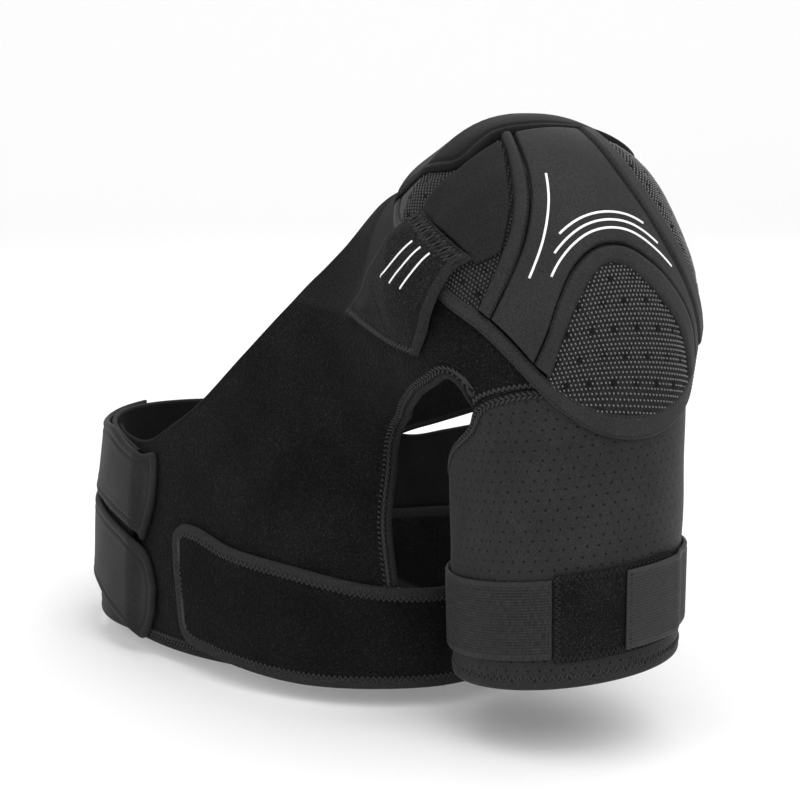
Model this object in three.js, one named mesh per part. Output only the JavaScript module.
// A neoprene shoulder brace for the wearer's left shoulder, shown as it sits when worn.
// The wearer faces -Y, the braced shoulder is on the +X side, and +Z is up.
// The origin is the top of the shoulder, where the padded cap rests on it.
// Every piece is a sheet between two levels of distance from the body that fills the brace,
// so the layers nest with even gaps. All lengths are in millimetres, all angles in degrees.
import * as THREE from 'three';

// Body sizes
const shoulderRadius = 82.2;
const neckRadius = 55.8;
const armRadius = 65.2;
const elbowRadius = 60;
const chestWidth = 324;
const chestDepth = 216;

// Brace sizes
const braceDrop = 335;
const sleeveDrop = 302;
const hemDip = 4.2;
const hemLean = 7;
const bandWidth = 44;
const bandTop = 241;
const bandDip = 4.5;
const bandLean = 8;
const loopPatchHeight = 49;
const rimWidth = 8.7;

// Walls and gaps
const panelWall = 4;
const beltWall = 4;
const tabWall = 4;
const strapWall = 4;
const tensionWall = 2.6;
const yokeWall = 2.2;
const sleeveWall = 4;
const elasticWall = 2.5;
const loopWall = 2.5;
const capHeight = 9.2;
const weltHeight = 10.6;
const padHeight = 7;
const sidePadHeight = 9.4;
const rimHeight = 8.5;
const clearance = 0.6;
const seamGap = 0.6;

// Levels of the layers above the body
const secondLayer = panelWall + clearance;
const thirdLayer = secondLayer + beltWall + clearance;

const { clamp, degToRad, radToDeg, lerp, smoothstep } = THREE.MathUtils;
const sin = (angle) => Math.sin(degToRad(angle));
const cos = (angle) => Math.cos(degToRad(angle));
const vector = (x, y, z) => new THREE.Vector3(x, y, z);

// The body: capsules and one squarish ellipsoid, with places as shares of the sizes above.
const shoulderCentre = vector(0, 0, -shoulderRadius);
const neckCentre = vector(-0.933, 0.172, -1.083).multiplyScalar(shoulderRadius);
const armTop = vector(0.36, 0.049, -1.404).multiplyScalar(shoulderRadius);
const armLow = vector(0.572 * shoulderRadius, -0.146 * shoulderRadius, -1.015 * braceDrop);
const chestSide = -0.409 * shoulderRadius;
const chestCentre = vector(chestSide - chestWidth / 2, 0.097 * shoulderRadius, -1.075 * braceDrop);
const chestHalf = vector(chestWidth / 2, chestDepth / 2, 0.955 * braceDrop);
const chestSquareness = 2.4;
const frontFold = { inner: [-1.217, -0.316, -1.825], outer: [0.17, -0.438, -1.363] };
const rearFold = { inner: [-1.217, 0.511, -1.825], outer: [0.17, 0.487, -1.363] };
const foldInnerRadius = 0.462 * shoulderRadius;
const foldOuterRadius = 0.56 * shoulderRadius;
const foldBlend = 0.365 * shoulderRadius;
const bodyBlend = 0.2725 * shoulderRadius;
const armpitLow = -0.687 * braceDrop;
const armpitHigh = -0.418 * braceDrop;
const sleeveLow = -0.642 * braceDrop;
const sleeveHigh = -0.448 * braceDrop;

function blend(a, b, reach) {
  if (reach <= 0) return Math.min(a, b);
  const overlap = Math.max(reach - Math.abs(a - b), 0) / reach;
  return Math.min(a, b) - overlap * overlap * reach * 0.25;
}

function capsule(point, start, end, startRadius, endRadius) {
  const axis = end.clone().sub(start);
  const offset = point.clone().sub(start);
  const share = clamp(offset.dot(axis) / axis.lengthSq(), 0, 1);
  return offset.addScaledVector(axis, -share).length() - lerp(startRadius, endRadius, share);
}

function chest(point) {
  const n = chestSquareness;
  let sum = 0;
  for (const axis of ['x', 'y', 'z']) {
    sum += (Math.abs(point[axis] - chestCentre[axis]) / chestHalf[axis]) ** n;
  }
  const level = sum ** (1 / n);
  let slope = 0;
  for (const axis of ['x', 'y', 'z']) {
    const share = Math.abs(point[axis] - chestCentre[axis]) / chestHalf[axis];
    slope += (share ** (n - 1) / chestHalf[axis] / level ** (n - 1)) ** 2;
  }
  return (level - 1) / Math.sqrt(slope);
}

// A roll of flesh beside the armpit, from the chest out to the arm
function fold(point, { inner, outer }) {
  const start = vector(...inner).multiplyScalar(shoulderRadius);
  const end = vector(...outer).multiplyScalar(shoulderRadius);
  return capsule(point, start, end, foldInnerRadius, foldOuterRadius);
}

function trunk(point) {
  const shoulder = capsule(point, neckCentre, shoulderCentre, neckRadius, shoulderRadius);
  let level = blend(chest(point), shoulder, bodyBlend);
  level = blend(level, fold(point, frontFold), foldBlend);
  return blend(level, fold(point, rearFold), foldBlend);
}

function arm(point) {
  return capsule(point, armTop, armLow, armRadius, elbowRadius);
}

function body(point) {
  const reach = bodyBlend * smoothstep(point.z, armpitLow, armpitHigh);
  return blend(trunk(point), arm(point), reach);
}

// The sleeve follows the arm alone below the armpit and the whole body above it.
function sleeveBody(point) {
  return lerp(arm(point), body(point), smoothstep(point.z, sleeveLow, sleeveHigh));
}

// Moves a point along the slope of a body until it lies on the given level of it.
function settle(form, start, level) {
  const point = start.clone();
  const step = 0.5;
  for (let round = 0; round < 7; round += 1) {
    const slope = vector(0, 0, 0);
    for (const axis of ['x', 'y', 'z']) {
      const ahead = point.clone();
      const behind = point.clone();
      ahead[axis] += step;
      behind[axis] -= step;
      slope[axis] = (form(ahead) - form(behind)) / (2 * step);
    }
    point.addScaledVector(slope, (level - form(point)) / slope.lengthSq());
  }
  return point;
}

// Goes from a point inside the body along a direction to where it leaves the body.
function leave(form, start, direction) {
  const stride = 4;
  let inside = 0;
  while (form(start.clone().addScaledVector(direction, inside + stride)) < 0) inside += stride;
  let outside = inside + stride;
  for (let halving = 0; halving < 12; halving += 1) {
    const middle = (inside + outside) / 2;
    if (form(start.clone().addScaledVector(direction, middle)) < 0) inside = middle;
    else outside = middle;
  }
  return start.clone().addScaledVector(direction, inside);
}

// Goes from far outside towards the body along a direction, to where it meets a panel's wall.
// A line that passes beside the body stops where it comes closest to it.
function meet(form, start, direction) {
  let travelled = 0;
  let nearest = { gap: Infinity, travelled };
  for (let round = 0; round < 200; round += 1) {
    const gap = form(start.clone().addScaledVector(direction, travelled)) - panelWall;
    if (Math.abs(gap) < nearest.gap) nearest = { gap: Math.abs(gap), travelled };
    if (Math.abs(gap) < 0.01) break;
    travelled += gap * 0.6;
  }
  return start.clone().addScaledVector(direction, nearest.travelled);
}

// Ways to name a place on the body
// Cap: degrees forward and outward from the crown of the shoulder
const crownTilt = 42;
const crownTurn = 14;
const crown = vector(sin(crownTilt) * cos(crownTurn), -sin(crownTilt) * sin(crownTurn), cos(crownTilt));
const outward = vector(cos(crownTilt) * cos(crownTurn), -cos(crownTilt) * sin(crownTurn), -sin(crownTilt));
const forward = vector(-sin(crownTurn), -cos(crownTurn), 0);

function onCap({ x, y }) {
  const away = Math.hypot(x, y);
  const side = forward.clone().multiplyScalar(x).addScaledVector(outward, y);
  if (away > 0) side.multiplyScalar(sin(away) / away);
  const direction = side.addScaledVector(crown, cos(away)).normalize();
  return leave(body, shoulderCentre, direction);
}

// Front and back: distance across and height, seen straight from the front or the back.
// Across runs from -1 at the far side of the chest over 0 at its near side to 1 at the arm.
const armReach = 1.58 * shoulderRadius;
const farAway = 1.5 * chestDepth;

function inMillimetres([x, y]) {
  return [x * (x < 0 ? chestWidth : armReach), y * braceDrop];
}

function straightFrom(side) {
  return ({ x, y }) => meet(body, vector(chestSide + x, side * farAway, -y), vector(0, -side, 0));
}

function seenFrom(side) {
  const place = straightFrom(side);
  return ({ x, y }) => place(point2(...inMillimetres([x, y])));
}

// Chest: degrees around it (0 in front, 90 beside the arm) and height
function onChest({ x, y }) {
  return leave(trunk, vector(chestCentre.x, chestCentre.y, -y * braceDrop), vector(sin(x), -cos(x), 0));
}

// Arm: degrees around it (0 in front, 90 outside) and height in millimetres
function armAxis(height) {
  return armTop.clone().lerp(armLow, (height - armTop.z) / (armLow.z - armTop.z));
}

function onArm({ x, y }) {
  return leave(sleeveBody, armAxis(y), vector(sin(x), -cos(x), 0));
}

// Curves and solids
const point2 = (x, y) => new THREE.Vector2(x, y);

// A smooth line through the rows of a table. Its pace spreads even steps over its length.
function smoothLine(rows) {
  const points = rows.map(([x, y]) => vector(x, y, 0));
  const curve = new THREE.CatmullRomCurve3(points, false, 'centripetal');
  const line = (share) => {
    const place = curve.getPoint(share);
    return point2(place.x, place.y);
  };
  line.pace = (share) => curve.getUtoTmapping(share);
  return line;
}

function closedSolid(vertices, faces) {
  const geometry = new THREE.BufferGeometry();
  let volume = 0;
  for (const [a, b, c] of faces) {
    volume += vertices[a].dot(vertices[b].clone().cross(vertices[c]));
  }
  const ordered = volume > 0 ? faces : faces.map(([a, b, c]) => [a, c, b]);
  geometry.setAttribute('position', new THREE.Float32BufferAttribute(vertices.flatMap((v) => v.toArray()), 3));
  geometry.setIndex(ordered.flat());
  geometry.computeVertexNormals();
  return geometry;
}

// A wall over a grid of places, from level low to level high. Each level is a function of
// the shares along and across the grid. A ring joins its last row to its first.
function wall({ form, place, along, across, rows, low, high, pace = (share) => share, ring = false }) {
  const vertices = [];
  const rowCount = ring ? along : along + 1;
  const columnCount = across + 1;
  for (let i = 0; i < rowCount; i += 1) {
    const share = pace(i / along);
    for (let j = 0; j < columnCount; j += 1) {
      const start = place(rows(share, j / across));
      vertices.push(settle(form, start, low(share, j / across)));
      vertices.push(settle(form, start, high(share, j / across)));
    }
  }
  const at = (i, j, top) => 2 * ((i % rowCount) * columnCount + j) + top;
  const faces = [];
  const quad = (a, b, c, d) => faces.push([a, b, c], [a, c, d]);
  for (let i = 0; i < along; i += 1) {
    for (let j = 0; j < across; j += 1) {
      quad(at(i, j, 1), at(i + 1, j, 1), at(i + 1, j + 1, 1), at(i, j + 1, 1));
      quad(at(i, j, 0), at(i, j + 1, 0), at(i + 1, j + 1, 0), at(i + 1, j, 0));
    }
    quad(at(i, 0, 0), at(i + 1, 0, 0), at(i + 1, 0, 1), at(i, 0, 1));
    quad(at(i, across, 0), at(i, across, 1), at(i + 1, across, 1), at(i + 1, across, 0));
  }
  for (let j = 0; j < across && !ring; j += 1) {
    quad(at(0, j, 0), at(0, j, 1), at(0, j + 1, 1), at(0, j + 1, 0));
    quad(at(along, j, 0), at(along, j + 1, 0), at(along, j + 1, 1), at(along, j, 1));
  }
  return closedSolid(vertices, faces);
}

// A pad over a closed outline: rings that shrink to its middle, crowned towards it.
function pad({ form, place, outline, middle, around, rings, low, high }) {
  const vertices = [];
  for (let ringIndex = 1; ringIndex <= rings; ringIndex += 1) {
    const share = ringIndex / rings;
    for (let i = 0; i < around; i += 1) {
      const flat = middle.clone().lerp(outline(i / around), share);
      const start = place(flat);
      vertices.push(settle(form, start, low(flat)), settle(form, start, high(share, flat)));
    }
  }
  const centre = place(middle);
  vertices.push(settle(form, centre, low(middle)), settle(form, centre, high(0, middle)));
  const heart = 2 * rings * around;
  const at = (ringIndex, i, top) => 2 * ((ringIndex - 1) * around + (i % around)) + top;
  const faces = [];
  for (let i = 0; i < around; i += 1) {
    faces.push([heart + 1, at(1, i, 1), at(1, i + 1, 1)], [heart, at(1, i + 1, 0), at(1, i, 0)]);
    for (let ringIndex = 1; ringIndex < rings; ringIndex += 1) {
      const [a, b] = [at(ringIndex, i, 1), at(ringIndex, i + 1, 1)];
      const [c, d] = [at(ringIndex + 1, i + 1, 1), at(ringIndex + 1, i, 1)];
      faces.push([a, d, c], [a, c, b], [a - 1, c - 1, d - 1], [a - 1, b - 1, c - 1]);
    }
    const [low0, low1] = [at(rings, i, 0), at(rings, i + 1, 0)];
    faces.push([low0, low1, low1 + 1], [low0, low1 + 1, low0 + 1]);
  }
  return closedSolid(vertices, faces);
}

const between = (first, last) => (i, j) => first(i).lerp(last(i), j);
const level = (height) => () => height;

const brace = new THREE.Group();
const neoprene = { color: 0x3a3a3c, roughness: 0.72, metalness: 0 };
const plush = { color: 0x1c1c1e, roughness: 0.95, metalness: 0 };
const elastic = { color: 0x36373a, roughness: 0.8, metalness: 0 };
const mesh = { color: 0x2c2d2f, roughness: 0.85, metalness: 0 };

function add(name, geometry, finish) {
  const piece = new THREE.Mesh(geometry, new THREE.MeshStandardMaterial(finish));
  piece.name = name;
  brace.add(piece);
}

// Front and back panels
// Each row is a section across the panel: its neck edge and its lower edge, across and down.
const frontSections = [
  { neck: [-0.859, 0.615], lower: [-0.859, 1] },
  { neck: [-0.665, 0.613], lower: [-0.668, 1] },
  { neck: [-0.575, 0.57], lower: [-0.514, 1] },
  { neck: [-0.489, 0.513], lower: [-0.359, 0.992] },
  { neck: [-0.396, 0.422], lower: [-0.205, 0.982] },
  { neck: [-0.35, 0.37], lower: [-0.046, 0.97] },
  { neck: [-0.33, 0.345], lower: [-0.044, 0.92] },
  { neck: [-0.31, 0.319], lower: [-0.053, 0.806] },
  { neck: [-0.28, 0.27], lower: [-0.071, 0.67] },
  { neck: [-0.254, 0.225], lower: [-0.066, 0.56] },
  { neck: [-0.193, 0.134], lower: [-0.017, 0.507] },
];
const backSections = [
  { neck: [-0.791, 0.704], lower: [-0.754, 0.764] },
  { neck: [-0.705, 0.639], lower: [-0.674, 0.716] },
  { neck: [-0.637, 0.597], lower: [-0.581, 0.67] },
  { neck: [-0.544, 0.549], lower: [-0.464, 0.63] },
  { neck: [-0.452, 0.484], lower: [-0.353, 0.593] },
  { neck: [-0.365, 0.391], lower: [-0.242, 0.555] },
  { neck: [-0.31, 0.319], lower: [-0.156, 0.525] },
  { neck: [-0.267, 0.251], lower: [-0.081, 0.499] },
  { neck: [-0.236, 0.191], lower: [-0.014, 0.472] },
];
// Both panels go on over the armhole to the seam of the sleeve, under the cap.
const bridgeSections = [
  { neck: [-0.125, 0.1], lower: [0.17, 0.449] },
  { neck: [-0.038, 0.076], lower: [0.33, 0.416] },
  { neck: [0.12, 0.101], lower: [0.436, 0.398] },
  { neck: [0.258, 0.137], lower: [0.473, 0.414] },
  { neck: [0.366, 0.167], lower: [0.5, 0.444] },
  { neck: [0.458, 0.191], lower: [0.566, 0.426] },
  { neck: [0.689, 0.251], lower: [0.743, 0.405] },
  { neck: [0.889, 0.334], lower: [0.889, 0.41] },
];
const bridgeSeamStart = 4;

function panelEdges(sections) {
  const all = [...sections, ...bridgeSections];
  return { neck: smoothLine(all.map((row) => row.neck)), lower: smoothLine(all.map((row) => row.lower)) };
}

function addPanel(name, sections, side) {
  const edges = panelEdges(sections);
  add(name, wall({
    form: body,
    place: seenFrom(side),
    along: 36,
    across: 7,
    rows: between(edges.lower, edges.neck),
    pace: edges.lower.pace,
    low: level(0),
    high: level(panelWall),
  }), plush);
}
addPanel('front_panel', frontSections, -1);
addPanel('back_panel', backSections, 1);

// The belt runs from behind the arm around the back and the far side to the tabs in front.
const beltRows = [
  { angle: 114, top: 0.567, bottom: 1.014 },
  { angle: 135, top: 0.591, bottom: 1.03 },
  { angle: 154.7, top: 0.621, bottom: 1.036 },
  { angle: 174, top: 0.65, bottom: 1.035 },
  { angle: 194.5, top: 0.677, bottom: 1.026 },
  { angle: 215, top: 0.672, bottom: 1.012 },
  { angle: 240, top: 0.64, bottom: 1.002 },
  { angle: 272, top: 0.616, bottom: 1 },
  { angle: 306, top: 0.612, bottom: 1.001 },
  { angle: 331, top: 0.634, bottom: 0.99 },
];
const beltTop = smoothLine(beltRows.map((row) => [row.angle, row.top]));
const beltBottom = smoothLine(beltRows.map((row) => [row.angle, row.bottom]));
add('belt', wall({
  form: trunk,
  place: onChest,
  along: 46,
  across: 3,
  rows: between(beltBottom, beltTop),
  pace: beltTop.pace,
  low: level(secondLayer),
  high: level(secondLayer + beltWall),
}), neoprene);

// Two hook tabs at the belt's front end, with round tips that reach past it on to the panel
const upperTabRows = [
  { top: [-82, 0.612], bottom: [-82, 0.719] },
  { top: [-58, 0.615], bottom: [-58, 0.752] },
  { top: [-45, 0.609], bottom: [-45, 0.761] },
  { top: [-34, 0.627], bottom: [-34, 0.773] },
  { top: [-25.5, 0.638], bottom: [-25.5, 0.787] },
  { top: [-17.8, 0.654], bottom: [-22.6, 0.804] },
  { top: [-17.3, 0.695], bottom: [-21.2, 0.788] },
  { top: [-17.8, 0.735], bottom: [-19.5, 0.763] },
];
const lowerTabRows = [
  { top: [-82, 0.728], bottom: [-82, 0.905] },
  { top: [-58, 0.768], bottom: [-58, 0.926] },
  { top: [-46, 0.776], bottom: [-46, 0.94] },
  { top: [-36, 0.787], bottom: [-36, 0.961] },
  { top: [-27, 0.801], bottom: [-27, 0.981] },
  { top: [-20.5, 0.826], bottom: [-21.8, 0.997] },
  { top: [-16.6, 0.857], bottom: [-18, 0.974] },
  { top: [-14.6, 0.893], bottom: [-15.2, 0.938] },
];
const beltEnd = beltRows.at(-1).angle - 360;
const tabStep = 9;

function addTab(name, tabRows) {
  const top = smoothLine(tabRows.map((row) => row.top));
  const bottom = smoothLine(tabRows.map((row) => row.bottom));
  const lie = (i) => {
    const past = smoothstep(top(i).x, beltEnd + 1, beltEnd + tabStep);
    return lerp(thirdLayer, secondLayer, past);
  };
  add(name, wall({
    form: trunk,
    place: onChest,
    along: 16,
    across: 3,
    rows: between(bottom, top),
    pace: top.pace,
    low: lie,
    high: (i) => lie(i) + tabWall,
  }), neoprene);
}
addTab('tab_upper', upperTabRows);
addTab('tab_lower', lowerTabRows);

// The underarm strap starts inside the belt at the back, passes under the arm and hooks on
// the front panel with a round end.
const underarmRows = [
  { top: [-3.9, 0.82], bottom: [-1.9, 0.895] },
  { top: [-4.6, 0.781], bottom: [-0.7, 0.932] },
  { top: [-1.4, 0.753], bottom: [2, 0.961] },
  { top: [7, 0.747], bottom: [8, 0.975] },
  { top: [14, 0.755], bottom: [15, 0.98] },
  { top: [22, 0.767], bottom: [24, 0.986] },
  { top: [45, 0.783], bottom: [45, 0.996] },
  { top: [67, 0.81], bottom: [67, 0.993] },
  { top: [90, 0.812], bottom: [90, 0.996] },
  { top: [114, 0.8], bottom: [114, 1.007] },
  { top: [154, 0.79], bottom: [154, 1.028] },
  { top: [175, 0.812], bottom: [175, 1.028] },
  { top: [200, 0.842], bottom: [200, 1.015] },
  { top: [215, 0.86], bottom: [215, 1.004] },
];
const panelEndAngle = 73;
const insideAngle = 92;
const underarmTop = smoothLine(underarmRows.map((row) => row.top));
const underarmBottom = smoothLine(underarmRows.map((row) => row.bottom));
const underarmLie = (i) => {
  const inside = smoothstep(underarmTop(i).x, panelEndAngle, insideAngle);
  return lerp(secondLayer, 0, inside);
};
add('underarm_strap', wall({
  form: trunk,
  place: onChest,
  along: 44,
  across: 3,
  rows: between(underarmBottom, underarmTop),
  pace: underarmTop.pace,
  low: underarmLie,
  high: (i) => underarmLie(i) + strapWall,
}), plush);

// Sleeve: its upper edge follows the seams of both panels and dips under the arm.
function seamRows(side) {
  const rows = bridgeSections.slice(bridgeSeamStart).map((row) => {
    const place = seenFrom(side)(point2(...row.lower));
    const axis = armAxis(place.z);
    const around = radToDeg(Math.atan2(place.x - axis.x, axis.y - place.y));
    return [around < -90 ? around + 360 : around, place.z - seamGap];
  });
  return side < 0 ? rows : rows.reverse();
}
const armholeRows = [
  { angle: -92, drop: 0.603 },
  { angle: -62, drop: 0.591 },
  { angle: -45, drop: 0.567 },
  { angle: -30, drop: 0.528 },
  { angle: -9, drop: 0.478 },
];
const outerRows = [
  { angle: 72, drop: 0.421 },
  { angle: 90, drop: 0.424 },
  { angle: 108, drop: 0.421 },
];
const rearArmholeRows = [
  { angle: 189, drop: 0.478 },
  { angle: 210, drop: 0.528 },
  { angle: 226, drop: 0.567 },
  { angle: 244, drop: 0.591 },
  { angle: 268, drop: 0.603 },
];
const dropRow = (row) => [row.angle, -row.drop * braceDrop];
const sleeveTop = smoothLine([
  ...armholeRows.map(dropRow),
  ...seamRows(-1),
  ...outerRows.map(dropRow),
  ...seamRows(1),
  ...rearArmholeRows.map(dropRow),
]);
const sleeveBottom = (share) => {
  const { x } = sleeveTop(share);
  return point2(x, -sleeveDrop - hemDip * cos(x) + hemLean * sin(x));
};
add('sleeve', wall({
  form: sleeveBody,
  place: onArm,
  along: 48,
  across: 5,
  rows: between(sleeveBottom, sleeveTop),
  pace: sleeveTop.pace,
  low: level(0),
  high: level(sleeveWall),
  ring: true,
}), neoprene);

// Ribbed elastic band around the sleeve. One end is sewn at the loop patch, the free end
// hooks on to it.
const bandStart = 36.5;
const bandEnd = -289.4;
const patchEnd = 100;
const sleeveLayer = sleeveWall + clearance;
const bandHeight = (angle) => -bandTop - bandDip * cos(angle) + bandLean * sin(angle);
const bandEdge = (offset) => (share) => {
  const angle = lerp(bandStart, bandEnd, share);
  return point2(angle, bandHeight(angle) - offset);
};
const bandLie = (i) => {
  const onPatch = smoothstep(-lerp(bandStart, bandEnd, i), 360 - patchEnd - 14, 360 - patchEnd - 2);
  return sleeveLayer + onPatch * (loopWall + clearance);
};
add('biceps_band', wall({
  form: sleeveBody,
  place: onArm,
  along: 48,
  across: 2,
  rows: between(bandEdge(bandWidth), bandEdge(0)),
  low: bandLie,
  high: (i) => bandLie(i) + elasticWall,
}), elastic);

const patchStart = bandStart + 0.6;
const patchOverhang = (loopPatchHeight - bandWidth) / 2;
const patchEdge = (offset) => (share) => {
  const angle = lerp(patchStart, patchEnd, share);
  return point2(angle, bandHeight(angle) + patchOverhang - offset);
};
add('loop_patch', wall({
  form: sleeveBody,
  place: onArm,
  along: 10,
  across: 4,
  rows: between(patchEdge(loopPatchHeight), patchEdge(0)),
  low: level(sleeveLayer),
  high: level(sleeveLayer + loopWall),
}), plush);

// Cap: all its curves are in degrees forward and outward from the crown.
const rimDegrees = radToDeg(rimWidth / (1.27 * shoulderRadius));
const gapDegrees = radToDeg(clearance / shoulderRadius);
const rimCurve = [
  [69, -50], [73, -40], [76, -27], [75.5, -12], [74.5, 3], [71.5, 18], [67.5, 32], [54.8, 50.3],
  [38, 71.3], [25.5, 81.6], [11, 87.2], [-8, 88], [-25, 84.4], [-41, 77], [-56, 60], [-66, 38],
  [-72, 18], [-75, 2], [-76, -14], [-74.5, -28], [-72, -40], [-68, -50],
];
const neckCurve = [
  [68.8, -50.8], [62, -58], [50, -65], [30, -71], [0, -73.5], [-30, -71], [-49, -65], [-61, -58], [-67.8, -50.8],
];
const collarCurve = [
  [64.6, -49.2], [57, -38], [50, -27.5], [44, -19], [38, -17.6], [30, -20.6], [22, -23.6], [12, -22.4],
  [0, -21], [-8, -20.6], [-14, -21.8], [-24, -20.4], [-34, -17.6], [-43, -19], [-49, -27.5],
  [-56, -38], [-63.6, -49.2],
];
const frontPiping = {
  window: [[22.3, -23], [25, -12.5], [28.4, -1], [32, 10.5], [37, 20.6], [44, 30.4], [53.8, 42.4]],
  tongue: [[17.8, -22.4], [20.6, -11], [22.8, 0], [26, 11.4], [31.2, 22.4], [38.4, 33.4], [50.2, 47.4]],
};
const rearPiping = {
  window: [[-17.4, -20.7], [-18.6, -7.4], [-21.6, 5.2], [-26.6, 15.8], [-33.7, 26.4], [-42.5, 38.1], [-53.2, 53.2]],
  tongue: [[-8.4, -20], [-9.6, -6.5], [-12.6, 7], [-17.6, 18.5], [-24.2, 30], [-33.5, 43.5], [-47, 62.2]],
};
const sideWelt = {
  tongue: [[34.6, 67.1], [29.2, 58.4], [24, 49], [17, 40], [7, 34], [-4, 34], [-15, 39.6], [-27, 48.6], [-36.5, 57.6], [-42.4, 67.4]],
  window: [[28.1, 72.6], [23.6, 61], [18.6, 53.2], [12.2, 45.6], [4.5, 40.6], [-4, 41.8], [-13, 48.3], [-23, 56], [-31, 63.4], [-36.1, 73.5]],
};

// Moves a line to one side, by degrees at right angles to it.
function shifted(line, degrees) {
  const step = 0.002;
  return (share) => {
    const ahead = line(Math.min(share + step, 1));
    const behind = line(Math.max(share - step, 0));
    const along = ahead.sub(behind).normalize();
    return line(share).add(point2(-along.y, along.x).multiplyScalar(degrees));
  };
}

// How far out a place lies on the cap, from 0 at the crown to 1 at its edge
const capReach = 76;
const lapStart = 0.5 * capReach;
const lapEnd = 0.67 * capReach;
const capLayer = panelWall + 2 * clearance;
const capInside = (flat) => capLayer * smoothstep(flat.length(), lapStart, lapEnd);
const rimLine = smoothLine(rimCurve);
const rimInner = shifted(rimLine, rimDegrees);
const insideRim = shifted(rimLine, rimDegrees + gapDegrees);
const collarLine = smoothLine(collarCurve);
const underCollar = shifted(collarLine, -gapDegrees);

const rimRows = between(rimLine, rimInner);
add('cap_rim', wall({
  form: body,
  place: onCap,
  along: 44,
  across: 2,
  rows: rimRows,
  pace: rimLine.pace,
  low: (i, j) => capInside(rimRows(i, j)),
  high: (i, j) => rimHeight - Math.abs(2 * j - 1),
}), neoprene);

const collarRows = between(smoothLine(neckCurve), collarLine);
add('cap_collar', wall({
  form: body,
  place: onCap,
  along: 28,
  across: 4,
  rows: collarRows,
  low: (i, j) => capInside(collarRows(i, j)),
  high: level(capHeight),
}), neoprene);

// The tongue is a horseshoe: its outer side runs up the front piping, along the collar and
// down the rear piping, its inner side over the side window.
const frontTongue = shifted(smoothLine(frontPiping.tongue), gapDegrees);
const rearTongue = shifted(smoothLine(rearPiping.tongue), -gapDegrees);
const tongueTopStart = frontTongue(0);
const tongueTopEnd = rearTongue(0);
const legShare = 0.4;
function tongueOuter(share) {
  if (share < legShare) return frontTongue(1 - share / legShare);
  if (share > 1 - legShare) return rearTongue((share - 1 + legShare) / legShare);
  return tongueTopStart.clone().lerp(tongueTopEnd, (share - legShare) / (1 - 2 * legShare));
}
const tongueInner = shifted(smoothLine(sideWelt.tongue), gapDegrees);
const tongueRows = between(tongueOuter, tongueInner);
add('cap_tongue', wall({
  form: body,
  place: onCap,
  along: 40,
  across: 5,
  rows: tongueRows,
  low: (i, j) => capInside(tongueRows(i, j)),
  high: level(capHeight),
}), neoprene);

function addWelt(name, sides, along) {
  const rows = between(smoothLine(sides.tongue), smoothLine(sides.window));
  add(name, wall({
    form: body,
    place: onCap,
    along,
    across: 2,
    rows,
    low: (i, j) => capInside(rows(i, j)),
    high: (i, j) => weltHeight - 2 * Math.abs(2 * j - 1),
  }), neoprene);
}
addWelt('front_piping', frontPiping, 16);
addWelt('rear_piping', rearPiping, 18);
addWelt('side_welt', sideWelt, 22);

// A window's outline goes down its piping and back along the rim and under the collar.
function outlineOf(lines) {
  return (share) => {
    const scaled = (share % 1) * lines.length;
    const index = Math.min(Math.floor(scaled), lines.length - 1);
    return lines[index](scaled - index);
  };
}
const part = (line, from, to) => (share) => line(lerp(from, to, share));

function addPad(name, lines, middle, rings, height, crownHeight) {
  add(name, pad({
    form: body,
    place: onCap,
    outline: outlineOf(lines),
    middle: point2(...middle),
    around: 32,
    rings,
    low: capInside,
    high: (share) => height + crownHeight * (1 - share * share),
  }), mesh);
}
addPad('mesh_pad_front', [
  shifted(smoothLine(frontPiping.window), -gapDegrees),
  part(insideRim, 0.325, 0.015),
  part(underCollar, 0.02, 0.36),
], [50, 4], 6, padHeight - 1.5, 1.5);
addPad('mesh_pad_rear', [
  shifted(smoothLine(rearPiping.window), gapDegrees),
  part(insideRim, 0.681, 0.985),
  part(underCollar, 0.98, 0.66),
], [-47, 4], 6, padHeight - 1.5, 3);
addPad('mesh_pad_side', [
  shifted(smoothLine(sideWelt.window), -gapDegrees),
  part(insideRim, 0.608, 0.41),
], [-5, 62], 4, padHeight, sidePadHeight - padHeight);

// The yoke lies over the front pad, and the tension strap joins it to the front panel.
const yokeEdges = {
  left: [[44, -15.6], [50, -15], [57, -13], [63, -8]],
  right: [[24.4, -19.6], [26.2, -12], [29.6, -1], [33, 10], [37.6, 19.2], [42.4, 26], [51.4, 26.6]],
};
add('front_yoke', wall({
  form: body,
  place: onCap,
  along: 12,
  across: 6,
  rows: between(smoothLine(yokeEdges.left), smoothLine(yokeEdges.right)),
  low: level(padHeight + clearance),
  high: level(padHeight + clearance + yokeWall),
}), neoprene);

const strapSections = [
  { left: [0.275, 0.133], right: [0.56, 0.201], lift: 1 },
  { left: [0.142, 0.166], right: [0.5, 0.219], lift: 1 },
  { left: [0.026, 0.204], right: [0.462, 0.247], lift: 1 },
  { left: [-0.046, 0.24], right: [0.428, 0.282], lift: 0.85 },
  { left: [-0.102, 0.282], right: [0.378, 0.322], lift: 0.2 },
  { left: [-0.152, 0.327], right: [0.311, 0.36], lift: 0.05 },
];
const strapLeft = smoothLine(strapSections.map((row) => inMillimetres(row.left)));
const strapRight = smoothLine(strapSections.map((row) => inMillimetres(row.right)));
const strapLift = smoothLine(strapSections.map((row, index) => [index, row.lift]));
const overYoke = padHeight + yokeWall + 2 * clearance;
const strapLow = (i) => lerp(secondLayer, overYoke, clamp(strapLift(i).y, 0, 1));
add('front_strap', wall({
  form: body,
  place: straightFrom(-1),
  along: 15,
  across: 5,
  rows: between(strapLeft, strapRight),
  pace: strapLeft.pace,
  low: strapLow,
  high: (i) => strapLow(i) + tensionWall,
}), plush);

export default brace;
